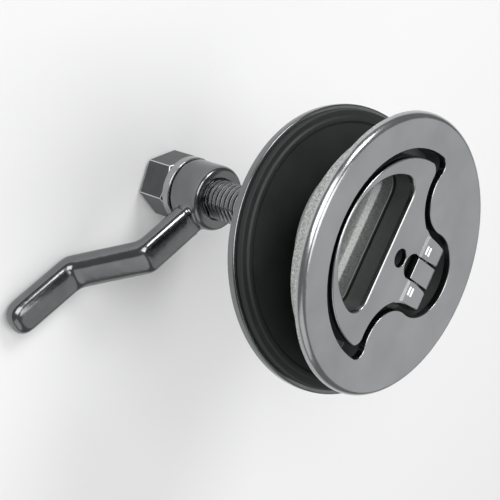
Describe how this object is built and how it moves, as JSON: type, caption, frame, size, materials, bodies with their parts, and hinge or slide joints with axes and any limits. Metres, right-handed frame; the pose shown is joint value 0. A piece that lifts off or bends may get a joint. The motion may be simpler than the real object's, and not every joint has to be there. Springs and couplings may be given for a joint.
{
  "type": "lockable hatch handle",
  "caption": "Flush round hatch handle: a lift handle folds into the face plate, and a key-turned spindle swings a cam arm behind a gasketed backing plate.",
  "frame": {"origin": "centre of the flange's underside, on the spindle axis", "axes": "+Z out of the hatch along the spindle axis, +X towards the handle's hinge, Y along the hinge pin"},
  "size_m": [0.0805, 0.0986, 0.0931],
  "materials": {
    "polished_steel": "polished",
    "satin_steel": "satin",
    "nut_steel": "machined",
    "rubber": "satin",
    "plastic": "matt"
  },
  "bodies": {
    "housing": {"housing": "polished_steel", "thrust_washer": "plastic", "clamp_washer": "satin_steel", "barrel_nut": "nut_steel"},
    "handle": {"handle": "polished_steel", "hinge_pin": "satin_steel"},
    "spindle": {"spindle": "satin_steel", "retaining_ring": "satin_steel", "spindle_seal": "rubber", "stop_washer": "satin_steel", "jam_nut": "nut_steel", "cam_arm": "satin_steel", "split_washer": "nut_steel", "cam_nut": "nut_steel"},
    "plate": {"backing_plate": "satin_steel", "backing_gasket": "rubber"}
  },
  "joints": [
    {"name": "handle_lift", "type": "hinge", "parent": "housing", "child": "handle", "pos_m": [0.0157, 0, -0.0012], "axis": [0, 1, 0], "range_deg": [0, 90]},
    {"name": "cam_turn", "type": "hinge", "parent": "housing", "child": "spindle", "pos_m": [0, 0, 0], "axis": [0, 0, 1], "range_deg": [0, 90]},
    {"name": "plate_rock", "type": "hinge", "parent": "housing", "child": "plate", "pos_m": [0.00189, -0.00109, 0.00019], "axis": [0.5, 0.866, 0], "range_deg": [0, 13.1]}
  ]
}
